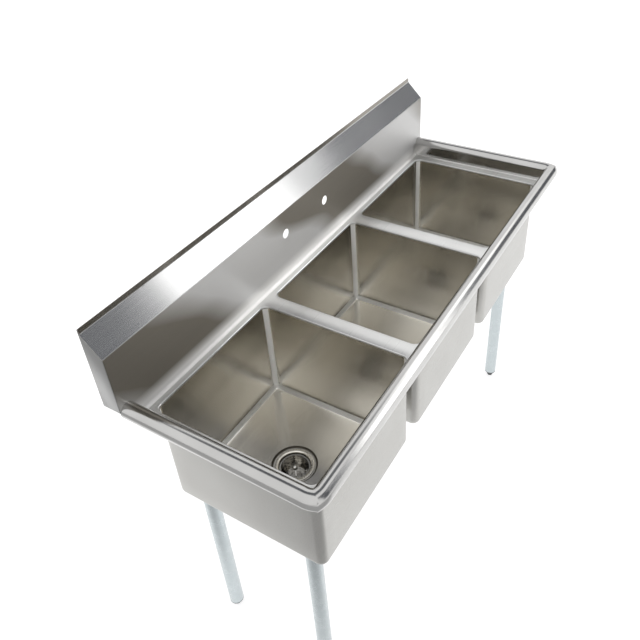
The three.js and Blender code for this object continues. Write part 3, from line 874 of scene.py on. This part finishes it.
def make_strainer(side):
    x = (SIDES.index(side) - 1) * BOWL_PITCH
    body = turned_ring(f"strainer_{side}_cup", CUP, x, 0, SEAT_Z, 64)
    for material in (FLANGE_STEEL, CUP_SHADE_STEEL):
        body.data.materials.append(material)
    for face in body.data.polygons:
        radius = math.hypot(face.center.x - x, face.center.y)
        face.material_index = int(20 * MM < radius < 43 * MM)  # the cup inside its flange, in painted shade
    dress(body, CHROME, "sink", "strainer_chrome", f"strainer_body_{side}")

    gasket = turned_ring(
        f"strainer_{side}_gasket",
        [(44.3, -4.8), (53.4, -4.8), (54, -4.2), (54, -2.4), (53.4, -1.8), (44.3, -1.8)],
        x, 0, SEAT_Z,
    )
    dress(gasket, RUBBER, "sink", "seal_rubber", f"strainer_gasket_{side}")
    washer = turned_ring(
        f"strainer_{side}_washer", [(44.3, -6.1), (53, -6.1), (53, -5.1), (44.3, -5.1)], x, 0, SEAT_Z
    )
    dress(washer, FIBRE, "sink", "washer_fibre", f"friction_washer_{side}")

    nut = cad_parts[f"lock_nut_{side}"]
    nut.data.materials.clear()
    nut.data.materials.append(ZINC)

    basket = perforated(f"basket_{side}_shell", BASKET, BASKET_HOLES, x, SEAT_Z)
    if sum(f.normal.z for f in basket.data.polygons) < 0:
        basket.data.flip_normals()
    thicken(basket, 0.7 * MM, 0)
    settle(basket)
    dress(basket, BASKET_DARK_REFLECTION_STEEL, f"basket_{side}", "strainer_chrome", f"basket_{side}")

    post = turned(f"basket_{side}_post_turned", POST, x, 0, SEAT_Z, 32)
    dress(post, CHROME, f"basket_{side}", "strainer_chrome", f"basket_post_{side}")
    seal = turned_ring(
        f"basket_{side}_seal_ring",
        [(3.3, -48.2), (20.6, -48.2), (22, -47), (22, -45.6), (20.6, -44.2), (3.3, -44.2)],
        x, 0, SEAT_Z,
    )
    dress(seal, RUBBER, f"basket_{side}", "seal_rubber", f"basket_seal_{side}")


for side in SIDES:
    make_strainer(side)

# ------------------------------------------------------------ floor and lights


FLOOR_HALF = 40
FLOOR_GLOW = 0.7
GLOW_SLANT = 0.57  # Y counts this much against X
GLOW_EDGE = (-1.15, -0.66)


def make_floor():
    """A floor that glows behind and to the right of the sink and fades to grey at its front left."""
    corners = [(-1, -1), (1, -1), (1, 1), (-1, 1)]
    floor = mesh_object("floor", [(FLOOR_HALF * x, FLOOR_HALF * y, 0) for x, y in corners], [(0, 1, 2, 3)])
    n = Nodes("floor_paint", (0.9, 0.9, 0.9))
    split = n.add("ShaderNodeSeparateXYZ")
    n.link(n.place, split.inputs["Vector"])
    across = n.add("ShaderNodeMath", operation="MULTIPLY_ADD")
    n.link(split.outputs["Y"], across.inputs[0])
    across.inputs[1].default_value = GLOW_SLANT
    n.link(split.outputs["X"], across.inputs[2])
    n.set(
        Base_Color=n.mixed(n.mapped(n.noise(0.7), 0, 1), (0.56, 0.56, 0.56), (0.54, 0.54, 0.54)),
        Roughness=0.9,
        Emission_Color=(1, 1, 1, 1),
        Emission_Strength=n.mapped(across.outputs["Value"], 0.0, FLOOR_GLOW, *GLOW_EDGE),
    )
    floor.data.materials.append(n.material)


WORLD_BRIGHTNESS = 1.0
DIM = (0.13, 0.135, 0.15)
# Soft-edged panels, each over those before it. A hoop panel is a share of the X direction and
# degrees around the X axis from the front horizon up; a ceiling panel is X and Y in a ceiling one
# metre up.
STUDIO_PANELS = (
    ("hoop", (0.12, 0.96), (11, 67), 0.04, 6, DIM),
    ("ceiling", (0.15, 0.76), (0.1, 0.75), 0.08, 0.08, DIM),
    ("hoop", (0.53, 0.71), (10, 66), 0.012, 4, (2.5, 2.5, 2.5)),
    ("ceiling", (0.78, 1.45), (-0.5, 0.2), 0.05, 0.05, (1.9, 1.9, 1.9)),
    ("hoop", (-0.98, -0.3), (14, 40), 0.08, 12, (0.4, 0.4, 0.41)),
)


def make_studio():
    world = bpy.data.worlds.new("studio")
    bpy.context.scene.world = world
    world.use_nodes = True
    tree = world.node_tree
    background = tree.nodes["Background"]
    direction = tree.nodes.new("ShaderNodeTexCoord").outputs["Generated"]
    split = tree.nodes.new("ShaderNodeSeparateXYZ")
    tree.links.new(direction, split.inputs["Vector"])

    def math_node(operation, *values):
        node = tree.nodes.new("ShaderNodeMath")
        node.operation = operation
        for socket, value in zip(node.inputs, values):
            if isinstance(value, bpy.types.NodeSocket):
                tree.links.new(value, socket)
            else:
                socket.default_value = value
        return node.outputs["Value"]

    def step(value, edge, softness):
        node = tree.nodes.new("ShaderNodeMapRange")
        node.interpolation_type = "SMOOTHSTEP"
        node.inputs["From Min"].default_value = edge - softness
        node.inputs["From Max"].default_value = edge + softness
        tree.links.new(value, node.inputs["Value"])
        return node.outputs["Result"]

    x, y, z = (split.outputs[axis] for axis in "XYZ")
    up = math_node("MAXIMUM", z, 0.01)
    places = {
        "ceiling": (math_node("DIVIDE", x, up), math_node("DIVIDE", y, up)),
        "hoop": (x, math_node("DEGREES", math_node("ARCTAN2", z, math_node("MULTIPLY", y, -1)))),
    }
    colour = None
    for kind, across, along, *softness, panel in STUDIO_PANELS:
        share = None
        for value, (low, high), soft in zip(places[kind], (across, along), softness):
            inside = math_node("SUBTRACT", step(value, low, soft), step(value, high, soft))
            share = inside if share is None else math_node("MULTIPLY", share, inside)
        mix = tree.nodes.new("ShaderNodeMix")
        mix.data_type = "RGBA"
        mix.inputs[6].default_value = (1, 1, 1, 1)
        mix.inputs[7].default_value = (*panel, 1)
        tree.links.new(share, mix.inputs["Factor"])
        if colour is not None:
            tree.links.new(colour, mix.inputs[6])
        colour = mix.outputs[2]
    tree.links.new(colour, background.inputs["Color"])
    background.inputs["Strength"].default_value = WORLD_BRIGHTNESS


make_floor()
make_studio()
bpy.context.scene.view_settings.view_transform = "Standard"
